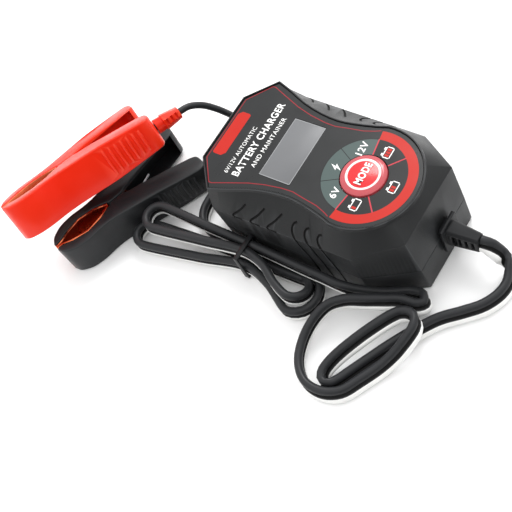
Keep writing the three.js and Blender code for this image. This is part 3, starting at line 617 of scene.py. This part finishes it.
def rim_outline(z):
    """The outline of the raised lip: an arc round the button, the waist, and the mains end."""
    def on_arc(degrees):
        angle = math.radians(degrees)
        return (RIM_RADIUS * math.sin(angle), BUTTON_Y - RIM_RADIUS * math.cos(angle), z)

    points = [on_arc(CORNER_ANGLE * i / END_STEPS) for i in range(END_STEPS)]
    span = SHOULDER_ANGLE - CORNER_ANGLE
    points += [on_arc(CORNER_ANGLE + span * i / SHOULDER_STEPS) for i in range(SHOULDER_STEPS + 1)]
    points += [(waist(y), y, z) for y in SIDE_Y]
    shoulder, corner = (*RIM_SHOULDER, z), (*RIM_CORNER, z)
    points += [between(shoulder, corner, i / MAINS_STEPS) for i in range(MAINS_STEPS)]
    middle = (0, corner[1], z)
    points += [between(corner, middle, i / END_STEPS) for i in range(END_STEPS + 1)]
    return mirrored(points)


def inset(ring, distance, drop=0.0):
    """Moves each point of a ring inwards by a distance, and down by a drop."""
    moved = []
    count = len(ring)
    for i, (x, y, z) in enumerate(ring):
        before, after = ring[i - 1], ring[(i + 1) % count]
        first = Vector((before[1] - y, x - before[0])).normalized()
        second = Vector((y - after[1], after[0] - x)).normalized()
        both = first + second
        shift = both * (2 * distance / both.length_squared)
        moved.append((x + shift.x, y + shift.y, z - drop))
    return moved


def skin(y, t, side):
    """A point on the housing's long side: t is -2 at the base, -1 at the parting line, 0 at
    the crease and 1 at the rim."""
    def at(level):
        shoulder, far = level[2], level[3]
        return between(shoulder, far, (y - shoulder[1]) / (far[1] - shoulder[1]))

    if t >= 0:
        x, _, z = between(at(CREASE), (waist(y), y, RIM_Z), t)
    elif t >= -1:
        x, _, z = between(at(CREASE), at(PARTING), -t)
    else:
        x, _, z = between(at(PARTING), at(BASE), -t - 1)
    return (side * x, y, z)


# ------------------------------------------------------------ housing

def outside_form():
    """The solid form of the whole housing, with its edges rounded."""
    form = loft("housing_form", [
        inset(level_outline(BASE), BASE_CHAMFER),
        [(x, y, BASE_CHAMFER) for x, y, _ in level_outline(BASE)],
        level_outline(PARTING), level_outline(CREASE), rim_outline(RIM_Z),
        inset(rim_outline(LIP_Z - 0.5), 0.15), inset(rim_outline(LIP_Z), 0.6),
    ], [HOUSING])
    bevel(form, 1.1, 3, 22.0)
    settle(form)
    return form


def inside_form():
    """The hollow inside the housing, a wall's thickness in from its outside."""
    return loft("housing_hollow", [
        inset(level_outline(BASE), WALL, -WALL), inset(level_outline(PARTING), WALL),
        inset(level_outline(CREASE), WALL, 1), inset(rim_outline(ROOF_Z), WALL),
    ], [])


def vent_cutters():
    """Slots with round ends through both long sides."""
    turns = [math.pi * k / 12 for k in range(13)]
    cutters = []
    for i, (y, half) in enumerate(VENTS):
        outline = []
        for end in (1, -1):
            centre = VENT_Z + end * (half - VENT_RADIUS)
            outline += [(y + end * VENT_RADIUS * math.cos(a), centre + end * VENT_RADIUS * math.sin(a))
                        for a in turns]
        for side in (-1, 1):
            rings = [[(side * x, py, pz) for py, pz in outline] for x in (36, 45)]
            cutters.append(loft("vent_%d_%d" % (i, side), rings, []))
    return cutters


def groove_cutters():
    """Shallow decorative grooves: three hooked lines and three L shapes on each side, whose walls take the
    painted shade of the groove material.
    """
    hook = [(-5.6, 0.52), (-4.0, 0.46), (-3.2, 0.36), (-3.4, 0.22), (-4.6, 0.1), (-6.0, 0.0),
            (-6.7, -0.2), (-8.2, -0.6), (-9.7, -1.0), (-10.6, -1.6), (-11.0, -2.0)]
    ell = [(0.0, 0.56), (3.4, 0.3), (7.6, 0.03), (6.6, -0.02), (4.0, -0.02), (1.2, -0.02)]
    lines = [[(y + start, t) for y, t in hook] for start in (0, -8.3, -16.8)]
    lines += [[(y + start, t) for y, t in ell] for start in (27.7, 15.9, 4.6)]
    cutters = []
    for i, line in enumerate(lines):
        for side in (-1, 1):
            points = catmull([skin(y, t, side) for y, t in line], 1.5)
            outline = disc_outline(GROOVE_RADIUS, 0, 0, 8)
            cutters.append(sweep("groove_%d_%d" % (i, side), points, outline, None, [GROOVE_SHADE], False))
    return cutters


def opening_cutters():
    """The holes in the two ends, for the strain relief and for the mains inlet."""
    wide, high = RELIEF_NECK
    return [
        block("relief_notch", RELIEF_X - wide, RELIEF_X + wide, -80, -60,
              RELIEF_Z - high, RELIEF_Z + high),
        block("inlet_opening", -INLET_X, INLET_X, 60, 80, *INLET_Z),
    ]


def make_housing():
    """The housing, hollowed and cut, then parted into its two shells."""
    form = outside_form()
    recess = loft("recess", [
        inset(rim_outline(SEAT_Z), LIP_WIDTH), inset(rim_outline(LIP_Z - 0.35), LIP_WIDTH),
        inset(rim_outline(LIP_Z + 0.15), LIP_WIDTH - 0.35), inset(rim_outline(LIP_Z + 2), LIP_WIDTH - 0.35),
    ], [])
    carve(form, [
        inside_form(), recess, *vent_cutters(), *groove_cutters(), *opening_cutters(),
        block("window", -WINDOW_X, WINDOW_X, *WINDOW_Y, ROOF_Z - 1, LIP_Z),
        prism("button_hole", disc_outline(BUTTON_HOLE, 0, BUTTON_Y), ROOF_Z - 1, LIP_Z, []),
    ])
    upper = copy_of(form, "upper_housing")
    carve(upper, [block("below", -60, 60, -90, 90, -5, PARTING_Z + PARTING_GAP)])
    lower = form
    lower.name = "lower_housing"
    holes = [prism("counterbore", disc_outline(COUNTERBORE_RADIUS, x, y, 32), -1, 8, []) for x, y in SCREWS]
    carve(lower, [block("above", -60, 60, -90, 90, PARTING_Z - PARTING_GAP, 60), *holes])
    for shell, node in ((upper, "upper_shell"), (lower, "lower_shell")):
        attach(shell, "charger")
        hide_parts(node)


make_housing()


# ------------------------------------------------------------ label

def flat_print(name, shapes, height, material):
    """Printed ink: flat shapes a hair above the label, height in hundredths of a millimetre."""
    z = LABEL_TOP + height * 0.01
    points, faces = [], []
    for shape in shapes:
        start = len(points)
        points += [(x, y, z) for x, y in shape]
        faces.append(tuple(range(start, start + len(shape))))
    ink = add_mesh(name, points, faces, [material])
    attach(ink, "charger")


def arc_band(r0, r1, first, last, steps=48):
    """A band round the button between two radii and two angles in degrees, as short pieces."""
    shapes = []
    for i in range(steps):
        a, b = (math.radians(first + (last - first) * k / steps) for k in (i, i + 1))
        shapes.append([(r * math.cos(t), BUTTON_Y + r * math.sin(t))
                       for r, t in ((r0, a), (r1, a), (r1, b), (r0, b))])
    return shapes


def radial(degrees, r0, r1, width):
    """A straight line outwards from the button's middle, as one quad."""
    angle = math.radians(degrees)
    out = Vector((math.cos(angle), math.sin(angle)))
    side = Vector((-out.y, out.x)) * width / 2
    middle = Vector((0, BUTTON_Y))
    return [tuple(middle + out * r + side * s) for r, s in ((r0, -1), (r1, -1), (r1, 1), (r0, 1))]


def stroke(line, width):
    """A bent line as quads of that width, joined by mitres."""
    points = [Vector(p) for p in line]
    edges = []
    for i, point in enumerate(points):
        before = points[max(0, i - 1)]
        after = points[min(len(points) - 1, i + 1)]
        first = (point - before).normalized() if i else (after - point).normalized()
        second = (after - point).normalized() if i + 1 < len(points) else first
        middle = (first + second).normalized()
        side = Vector((-middle.y, middle.x)) * (width / 2 / max(0.3, middle.dot(first)))
        edges.append((tuple(point + side), tuple(point - side)))
    return [[a[1], b[1], b[0], a[0]] for a, b in zip(edges, edges[1:])]


def bolt_shape(x, y):
    outline = [(0.9, 3.6), (-1.9, -0.5), (-0.3, -0.3), (-1.2, -3.6), (1.9, 0.7), (0.3, 0.5)]
    return [(x + px, y + py) for px, py in outline]


def box(x0, x1, y0, y1):
    return [(x0, y0), (x1, y0), (x1, y1), (x0, y1)]


def battery_icon(x, y, bars):
    """White case outline with two terminals, and bars of charge inside it."""
    half, high, wall = 3.6, 2.3, 0.55
    white = [
        box(x - half, x + half, y - high, y - high + wall),
        box(x - half, x + half, y + high - wall, y + high),
        box(x - half, x - half + wall, y - high, y + high),
        box(x + half - wall, x + half, y - high, y + high),
        box(x - 2.7, x - 1.2, y + high, y + high + 0.9),
        box(x + 1.2, x + 2.7, y + high, y + high + 0.9),
    ]
    red = []
    for i in range(bars):
        left = x - half + 1.05 + 1.85 * i
        red.append(box(left, left + 1.4, y - 1.3, y + 1.3))
    return white, red


def lettering(name, words, x0, x1, y0, y1, z, weight, material):
    """Words in the built-in typeface, fitted to a box."""
    data = bpy.data.curves.new(name, "FONT")
    data.body = words
    data.size = 1.0
    data.offset = weight
    data.space_character = 1.08
    text = bpy.data.objects.new(name, data)
    bpy.context.scene.collection.objects.link(text)
    graph = bpy.context.evaluated_depsgraph_get()
    mesh = bpy.data.meshes.new_from_object(text.evaluated_get(graph))
    bpy.data.objects.remove(text)
    xs = [v.co.x for v in mesh.vertices]
    ys = [v.co.y for v in mesh.vertices]
    for v in mesh.vertices:
        v.co.x = (x0 + (x1 - x0) * (v.co.x - min(xs)) / (max(xs) - min(xs))) * MM
        v.co.y = (y0 + (y1 - y0) * (v.co.y - min(ys)) / (max(ys) - min(ys))) * MM
        v.co.z = z * MM
    mesh.materials.clear()
    mesh.materials.append(material)
    piece = bpy.data.objects.new(name, mesh)
    bpy.context.scene.collection.objects.link(piece)
    return piece


def make_label():
    """The label, which lies in the lip with holes for the display and the button."""
    gap = LIP_WIDTH + GAP
    plate = loft("label_plate", [
        inset(rim_outline(SEAT_Z + GAP), gap), inset(rim_outline(LABEL_TOP - 0.12), gap),
        inset(rim_outline(LABEL_TOP), gap + 0.12),
    ], [LABEL])
    carve(plate, [
        block("window_cut", -WINDOW_X - GAP, WINDOW_X + GAP, WINDOW_Y[0] - GAP, WINDOW_Y[1] + GAP, 50, 55),
        prism("button_cut", disc_outline(BUTTON_HOLE, 0, BUTTON_Y, 64), 50, 55, []),
    ])
    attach(plate, "charger")
    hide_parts("label_overlay")


def make_art():
    """Everything printed on the label."""
    inner, outer = SECTOR_INNER, SECTOR_OUTER
    first, last, round_again = GREY_FIRST, GREY_LAST, GREY_FIRST + 360
    flat_print("ring_print", arc_band(outer, RING_OUTER, last, round_again, 96), 5, RED_INK)
    flat_print("grey_sectors", arc_band(inner, outer, first, last, 60), 4, GREY_INK)
    flat_print("black_sectors", arc_band(inner, outer, last, round_again, 72), 4, BLACK_INK)
    thin_lines = [radial(a, inner, outer, 0.4) for a in (62, 118.5)]
    thin_lines += arc_band(outer - 0.2, outer + 0.15, first, last, 60)
    flat_print("sector_lines", thin_lines, 7, BLACK_INK)
    bold_lines = [radial(a, inner, outer + 0.2, 0.7) for a in (first, last, -42, -139)]
    flat_print("sector_lines_red", bold_lines, 8, PINK_INK)
    border = [(24.9, -14.3), (23.5, -4.6), (22.3, 2.3), (22.6, 9.2), (24.2, 19.6), (26.7, 29.4),
              (30.8, 40.7), (34.3, 50.1), (34.1, 51.9), (20.8, 62.5)]
    path = [(28.3, -23.6), (26.8, -20.2)] + border
    whole = path + [(-x, y) for x, y in reversed(path)]
    flat_print("border_print", stroke(whole, 0.5), 5, BORDER_INK)
    flat_print("bolt_print", [bolt_shape(-0.3, -12.1)], 9, WHITE_INK)
    whites, reds = [], []
    for x, y, bars in ((17.2, -34, 3), (-0.5, -47.2, 2), (-16.9, -33.8, 1)):
        white, red = battery_icon(x, y, bars)
        whites += white
        reds += red
    flat_print("battery_prints", whites, 9, WHITE_INK)
    flat_print("charge_prints", reds, 9, RED_INK)
    mark = [(-16.8, 55.4), (-14.6, 53.3), (12.2, 53.3), (13, 54.4), (13, 59.3), (10.8, 61.4),
            (-16, 61.4), (-16.8, 60.3)]
    flat_print("mark_print", [mark], 6, RED_INK)
    words = [
        ("line_one", "6V/12V AUTOMATIC", -25.5, 6.5, 44.7, 47.3, 0.0),
        ("line_two", "BATTERY CHARGER", -25.3, 25.7, 37.3, 42, 0.02),
        ("line_three", "AND MAINTAINER", -17, 17.5, 31.5, 34.3, 0.0),
        ("six_volt", "6V", -17.8, -11.2, -21.6, -17.5, 0.018),
        ("twelve_volt", "12V", 10.6, 19.2, -21.6, -17.4, 0.018),
    ]
    for name, text, x0, x1, y0, y1, weight in words:
        piece = lettering(name, text, x0, x1, y0, y1, LABEL_TOP + 0.1, weight, WHITE_INK)
        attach(piece, "charger")


def make_display():
    """The display's pane and the thin border round it."""
    x, (y0, y1) = WINDOW_X, WINDOW_Y
    pane = block("display_pane", -x, x, y0, y1, SEAT_Z + GAP, SEAT_Z + GAP + 0.4)
    pane.data.materials.append(DISPLAY)
    bevel(pane, 0.15, 2)
    settle(pane)
    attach(pane, "charger")
    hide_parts("lcd_window")
    rim = [(-x, y0), (x, y0), (x, y1), (-x, y1), (-x, y0)]
    flat_print("display_border", stroke([(px * 0.985, py) for px, py in rim], 0.45), 3, DISPLAY_EDGE)


def make_button():
    """The button: a clear rim, a white ring and a red middle, turned from one profile."""
    profile = [(0.01, 41.7), (2.2, 41.7), (2.2, 46.6), (14.2, 47.6), (14.2, 48.8), (12.8, 48.8),
               (12.8, 52.9), (12.5, 53.5), (11.8, 53.9), (10.6, 54.25), (9.9, 54.4), (9.6, 54.55),
               (8.7, 54.6), (8.3, 54.45), (8.0, 54.5), (6.0, 54.8), (3.0, 55.0), (0.01, 55.1)]
    bands = [0] * 10 + [0, 1, 1, 2, 2, 2, 2]
    button = turned("mode_key", profile, 0, BUTTON_Y, [BUTTON_CLEAR, BUTTON_WHITE, BUTTON_RED], bands)
    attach(button, "mode_button")
    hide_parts("mode_button")
    words = lettering("mode_word", "MODE", -6.7, 6.9, BUTTON_Y - 2.5, BUTTON_Y + 2.0, 55.2, 0.03, WHITE_INK)
    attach(words, "mode_button")


make_label()
make_art()
make_display()
make_button()


# ------------------------------------------------------------ clamps

def rounded(outline, passes=2, keep=()):
    """Cuts the corners of a closed outline, except those in keep."""
    for _ in range(passes):
        smooth = []
        count = len(outline)
        for i, (x, y) in enumerate(outline):
            if (x, y) in keep:
                smooth.append((x, y))
                continue
            before, after = outline[i - 1], outline[(i + 1) % count]
            smooth.append((x + (before[0] - x) * 0.22, y + (before[1] - y) * 0.22))
            smooth.append((x + (after[0] - x) * 0.22, y + (after[1] - y) * 0.22))
        outline = smooth
    return outline


def grip_half(x):
    """Half the width of a cover at x, which narrows along the grip."""
    (x0, h0), (x1, h1) = GRIP_TAPER
    share = min(1.0, max(0.0, (x - x0) / (x1 - x0)))
    return h0 + (h1 - h0) * share


def make_cover(colour, side, body, material):
    """One arm's cover: a trough with rounded edges and ribs across its grip."""
    part = "fixed" if side < 0 else "free"
    sharp = {COVER_OUTSIDE[0], COVER_INSIDE[-1]}
    outline = rounded(COVER_OUTSIDE + COVER_INSIDE, 2, sharp)
    rings = [[(x, y * side, s * grip_half(x)) for x, y in outline] for s in (-1, 1)]
    if side < 0:
        rings.reverse()
    cover = loft("%s_%s_grip" % (colour, part), rings, [material], smooth=35.0)
    fix_normals(cover)
    bevel(cover, 0.9, 3, 50.0)
    settle(cover, 35.0)
    hollow = [(x, y * side) for x, y in COVER_HOLLOW]
    inner = CLAMP_HALF - CLAMP_CHEEK
    cutter = prism("hollow", hollow, -inner, inner, [])
    fix_normals(cutter)
    ribs = [make_rib(RIB_FIRST + RIB_PITCH * i, side) for i in range(RIB_COUNT)]
    carve(cover, [cutter], smooth=35.0)
    carve(cover, ribs, "UNION", smooth=35.0)
    cover.data.transform(scaled(PLACES[colour]))
    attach(cover, body)
    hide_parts("%s_%s_arm_cover" % (colour, part))
    return cover


def fix_normals(piece):
    form = bmesh.new()
    form.from_mesh(piece.data)
    bmesh.ops.recalc_face_normals(form, faces=form.faces)
    form.to_mesh(piece.data)
    form.free()


def scaled(place):
    """A placing matrix in millimetres, for meshes in metres."""
    matrix = place.copy()
    matrix.translation = matrix.translation * MM
    return matrix


def outside_height(x):
    """How far out the cover's outside stands at x."""
    for (x0, y0), (x1, y1) in zip(COVER_OUTSIDE, COVER_OUTSIDE[1:]):
        if x0 <= x <= x1:
            return y0 + (y1 - y0) * (x - x0) / (x1 - x0)
    return COVER_OUTSIDE[-1][1]


def make_rib(x, side):
    """A rounded bar across the grip, half sunk in its face."""
    reach = grip_half(x) - 3.4
    steps = 10
    points = []
    for i in range(steps + 1):
        share = -1 + 2 * i / steps
        sink = 0.55 * share ** 4
        points.append(Vector((x, side * (outside_height(x) - 0.35 - sink), reach * share)))
    return sweep("rib", points, disc_outline(RIB_RADIUS, 0, 0, 12), None, [], False)


def make_spring(colour):
    """A coil round the pivot pin, with a leg under each grip."""
    coil = []
    steps = 16
    for i in range(SPRING_TURNS * steps + 1):
        angle = math.tau * i / steps
        z = -4 + 8 * i / (SPRING_TURNS * steps)
        x = PIVOT_X + SPRING_RADIUS * math.sin(angle)
        coil.append(Vector((x, -SPRING_RADIUS * math.cos(angle), z)))
    first_leg = [Vector((PIVOT_X + 22, -12.2, -4)), Vector((PIVOT_X + 8, -6.6, -4))]
    last_leg = [Vector((PIVOT_X + 8, -2.6, 4)), Vector((PIVOT_X + 22, 4.4, 4))]
    spring = sweep(colour + "_coil_spring", first_leg + coil + last_leg,
                   disc_outline(SPRING_WIRE, 0, 0, 10), None, [STEEL], False)
    spring.data.transform(scaled(PLACES[colour]))
    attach(spring, "charger")
    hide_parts(colour + "_clamp_spring")
    return spring


def refinish(name, material, width=0.0, smooth=32.0):
    """Gives a CAD node its finish, and softens its edges."""
    node = NODES[name]
    mesh = node.data
    mesh.materials.clear()
    mesh.materials.append(material)
    if "custom_normal" in mesh.attributes:
        mesh.attributes.remove(mesh.attributes["custom_normal"])
    join = node.modifiers.new("Join", "WELD")
    join.merge_threshold = 0.00001
    if width:
        bevel(node, width, 2, 34.0)
    soften(mesh, smooth)
    return node


def make_clamp(colour, plastic):
    lever = colour + "_clamp_lever"
    covers = [make_cover(colour, -1, "charger", plastic), make_cover(colour, 1, lever, plastic)]
    metal = [refinish("%s_%s_jaw" % (colour, part), COPPER, 0.15) for part in ("fixed", "free")]
    pin = refinish(colour + "_pivot_pin", STEEL, 0.3)
    boot = refinish(colour + "_lead_boot", plastic, 0.35)
    return covers + metal + [pin, boot, make_spring(colour)]


red_clamp = make_clamp("red", CLAMP_RED)
black_clamp = make_clamp("black", CLAMP_BLACK)


# ------------------------------------------------------------ pieces kept from the CAD model

def refinish_kept():
    refinish("cord_strain_relief", RELIEF_RUBBER, 0.35)
    refinish("lead_splitter", CORD_BLACK, 0.8)
    refinish("twist_tie", DARK_PLASTIC, 0.2)
    for i in range(4):
        refinish("housing_screw_%d" % (i + 1), STEEL, 0.2)
    for i in range(6):
        refinish("indicator_lamp_%d" % (i + 1), LAMP_GREEN if i < 3 else LAMP_RED)
    refinish("lcd_module", DARK_PLASTIC, 0.3)
    refinish("button_switch", DARK_PLASTIC, 0.2)
    refinish("circuit_board", BOARD_GREEN, 0.1)
    refinish("transformer_core", IRON, 0.3)
    refinish("transformer_winding", WINDING, 1.0)
    refinish("capacitor_1", SLEEVE, 0.5)
    refinish("capacitor_2", SLEEVE, 0.5)
    refinish("heat_sink", ALUMINIUM, 0.2)
    refinish("power_transistor", DARK_PLASTIC, 0.2)
    refinish("fuse", GLASS, 0.2)
    refinish("mains_inlet", DARK_PLASTIC, 0.4)
    refinish("inlet_pin_left", NICKEL, 0.15)
    refinish("inlet_pin_right", NICKEL, 0.15)


refinish_kept()


# ------------------------------------------------------------ floor and light

def make_floor():
    floor = add_mesh("floor", [(-6000, -6000, -0.05), (6000, -6000, -0.05), (6000, 6000, -0.05),
                               (-6000, 6000, -0.05)], [(0, 1, 2, 3)],
                     [surface("floor_paint", "F6F6F6", 0.75, grain=3.0, bump=0.02, mottle=0.005)])


def make_light(name, position, size, power):
    """A square light at a position in metres, aimed at the charger."""
    target = Vector((0, 0.02, 0.02))
    data = bpy.data.lights.new(name, "AREA")
    data.size = size
    data.energy = power
    lamp = bpy.data.objects.new(name, data)
    bpy.context.scene.collection.objects.link(lamp)
    lamp.location = position
    lamp.rotation_euler = (Vector(position) - target).to_track_quat("Z", "Y").to_euler()


def world_slope(tree, direction, span, values):
    """How far each direction of the world lies along this one, mapped from span to values."""
    place = tree.nodes.new("ShaderNodeTexCoord")
    facing = tree.nodes.new("ShaderNodeVectorMath")
    facing.operation = "DOT_PRODUCT"
    facing.inputs[1].default_value = direction
    tree.links.new(place.outputs["Generated"], facing.inputs[0])
    fade = tree.nodes.new("ShaderNodeMapRange")
    fade.inputs["From Min"].default_value, fade.inputs["From Max"].default_value = span
    fade.inputs["To Min"].default_value, fade.inputs["To Max"].default_value = values
    tree.links.new(facing.outputs["Value"], fade.inputs["Value"])
    return fade.outputs["Result"]


def make_world():
    """A white studio, brighter overhead than at the sides, and dim where the viewer stands."""
    world = bpy.data.worlds.new("studio")
    world.use_nodes = True
    tree = world.node_tree
    background = tree.nodes["Background"]
    background.inputs["Color"].default_value = (1.0, 1.0, 1.0, 1.0)
    overhead = world_slope(tree, (0.12, 0.1, 1.0), (-0.1, 0.8), (0.85, 1.6))
    viewer = world_slope(tree, (-0.6, -0.78, -0.1), (0.45, 0.85), (1.0, 0.12))
    both = tree.nodes.new("ShaderNodeMath")
    both.operation = "MULTIPLY"
    tree.links.new(overhead, both.inputs[0])
    tree.links.new(viewer, both.inputs[1])
    tree.links.new(both.outputs["Value"], background.inputs["Strength"])
    bpy.context.scene.world = world
    bpy.context.scene.view_settings.view_transform = "Standard"


make_floor()
make_light("key", (0.8, 0.3, 1.0), 0.5, 9.0)
make_world()
